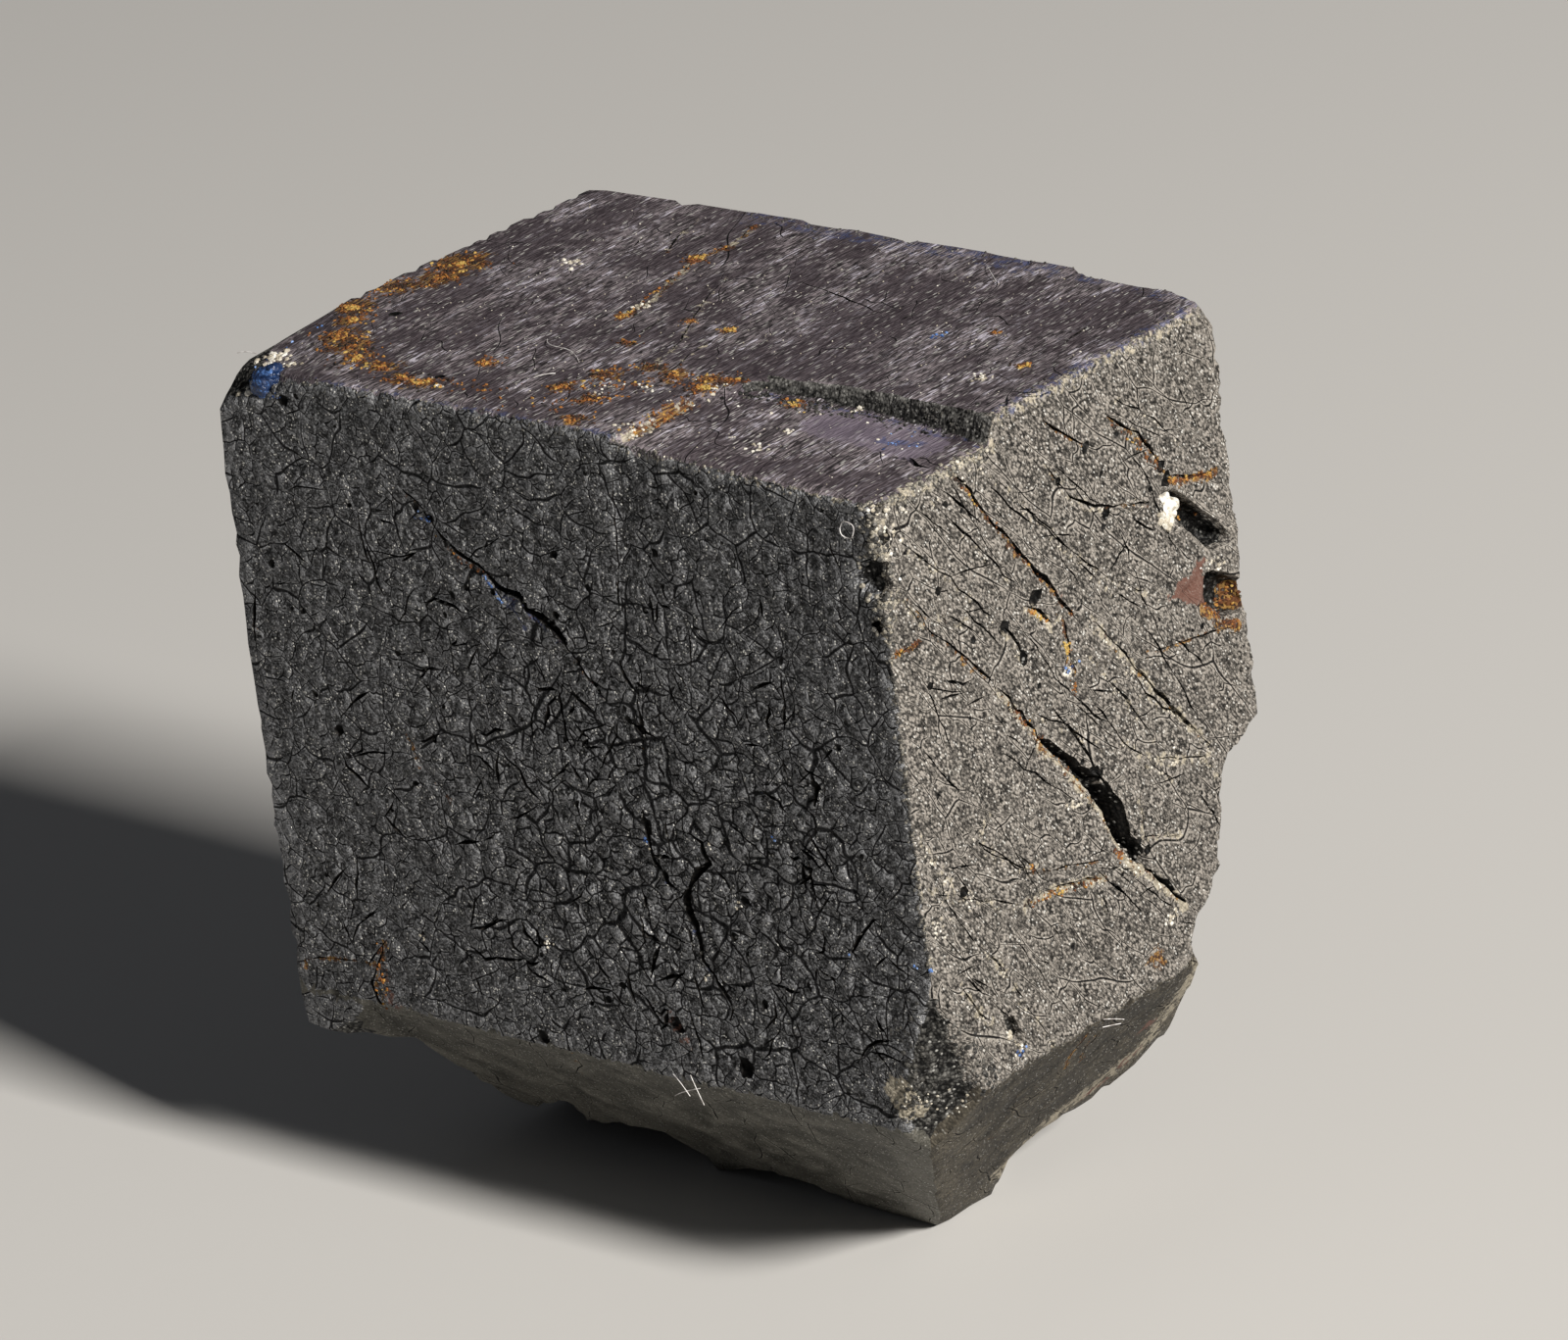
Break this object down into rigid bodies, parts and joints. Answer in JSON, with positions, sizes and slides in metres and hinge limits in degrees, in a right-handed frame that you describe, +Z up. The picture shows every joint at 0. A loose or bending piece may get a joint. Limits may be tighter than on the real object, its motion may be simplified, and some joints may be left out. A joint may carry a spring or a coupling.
{
  "type": "magnetite specimen",
  "caption": "Blocky, nearly cubic magnetite crystal with a stepped striated top, cracked side faces, lower bevels and a broken foot that it stands on.",
  "frame": {"origin": "middle of the bounding box in plan, on the flat broken face that the crystal rests on", "axes": "+Z up out of the crystal's striated top, -Y out of the wide front face, +X out of the cracked right hand face"},
  "size_m": [0.0172, 0.0112, 0.0181],
  "materials": {
    "magnetite": "dark grey, granular, cracked, half metallic lustre with rust in the cracks",
    "blue_mineral": "glossy dark blue grain",
    "pale_mineral": "dull cream grain"
  },
  "bodies": {
    "root": {"magnetite_crystal": "magnetite", "blue_grain": "blue_mineral", "pale_grain": "pale_mineral"}
  },
  "joints": []
}
